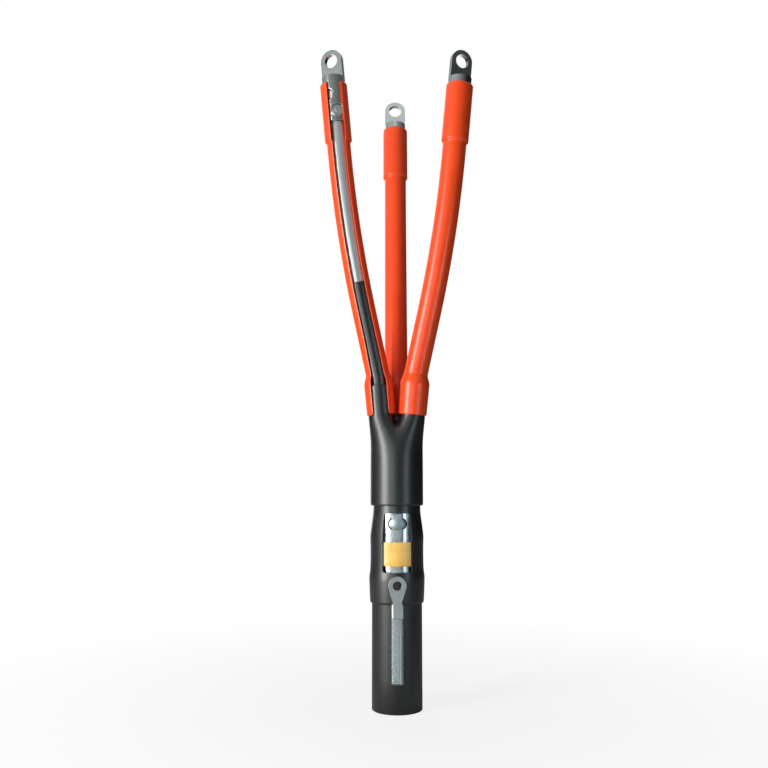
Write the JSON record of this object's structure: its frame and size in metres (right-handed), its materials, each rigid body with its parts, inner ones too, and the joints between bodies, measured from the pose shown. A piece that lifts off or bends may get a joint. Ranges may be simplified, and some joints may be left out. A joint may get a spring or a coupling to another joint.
{
  "type": "cable termination",
  "caption": "Heat-shrink indoor cable termination with red outer tubes, shear-bolt lugs, a black fingered breakout and a cover sleeve over an earth bond, opened to show the layers.",
  "frame": {"origin": "centre of the cut end of the cable", "axes": "+Z along the cable axis towards the lugs, -Y towards the earth bond and the window, +X towards the closed front core"},
  "size_m": [0.1892, 0.1683, 0.7984],
  "materials": {
    "tube_red": "glossy heat-shrink tube",
    "rubber_black": "glossy heat-shrink rubber",
    "sheath_black": "satin extruded sheath",
    "stress_black": "satin",
    "insulation_pale": "glossy polymer",
    "screen_black": "matt",
    "filler_dark": "matt",
    "lug_metal": "tinned, satin",
    "bolt_metal": "turned, torn face",
    "conductor_metal": "stranded",
    "sheath_metal": "smooth, bright",
    "braid_metal": "woven, tinned",
    "solder_metal": "smooth, bright",
    "earth_lug_metal": "tinned, satin",
    "mastic_yellow": "soft, satin"
  },
  "bodies": {
    "root": {"cable_outer_sheath": "sheath_black", "metal_sheath": "sheath_metal", "core_filler": "filler_dark", "cover_sleeve": "rubber_black", "breakout": "rubber_black", "mastic_band": "mastic_yellow", "earth_braid": "braid_metal", "solder_joint": "solder_metal", "earth_lug": "earth_lug_metal", "conductor_left": "conductor_metal", "insulation_left": "insulation_pale", "core_screen_left": "screen_black", "stress_tube_left": "stress_black", "outer_tube_left": "tube_red", "lug_left": "lug_metal", "shear_bolts_left": "bolt_metal", "conductor_right": "conductor_metal", "insulation_right": "insulation_pale", "core_screen_right": "screen_black", "stress_tube_right": "stress_black", "outer_tube_right": "tube_red", "lug_right": "lug_metal", "shear_bolts_right": "bolt_metal", "conductor_rear": "conductor_metal", "insulation_rear": "insulation_pale", "core_screen_rear": "screen_black", "stress_tube_rear": "stress_black", "outer_tube_rear": "tube_red", "lug_rear": "lug_metal", "shear_bolts_rear": "bolt_metal"}
  },
  "joints": []
}
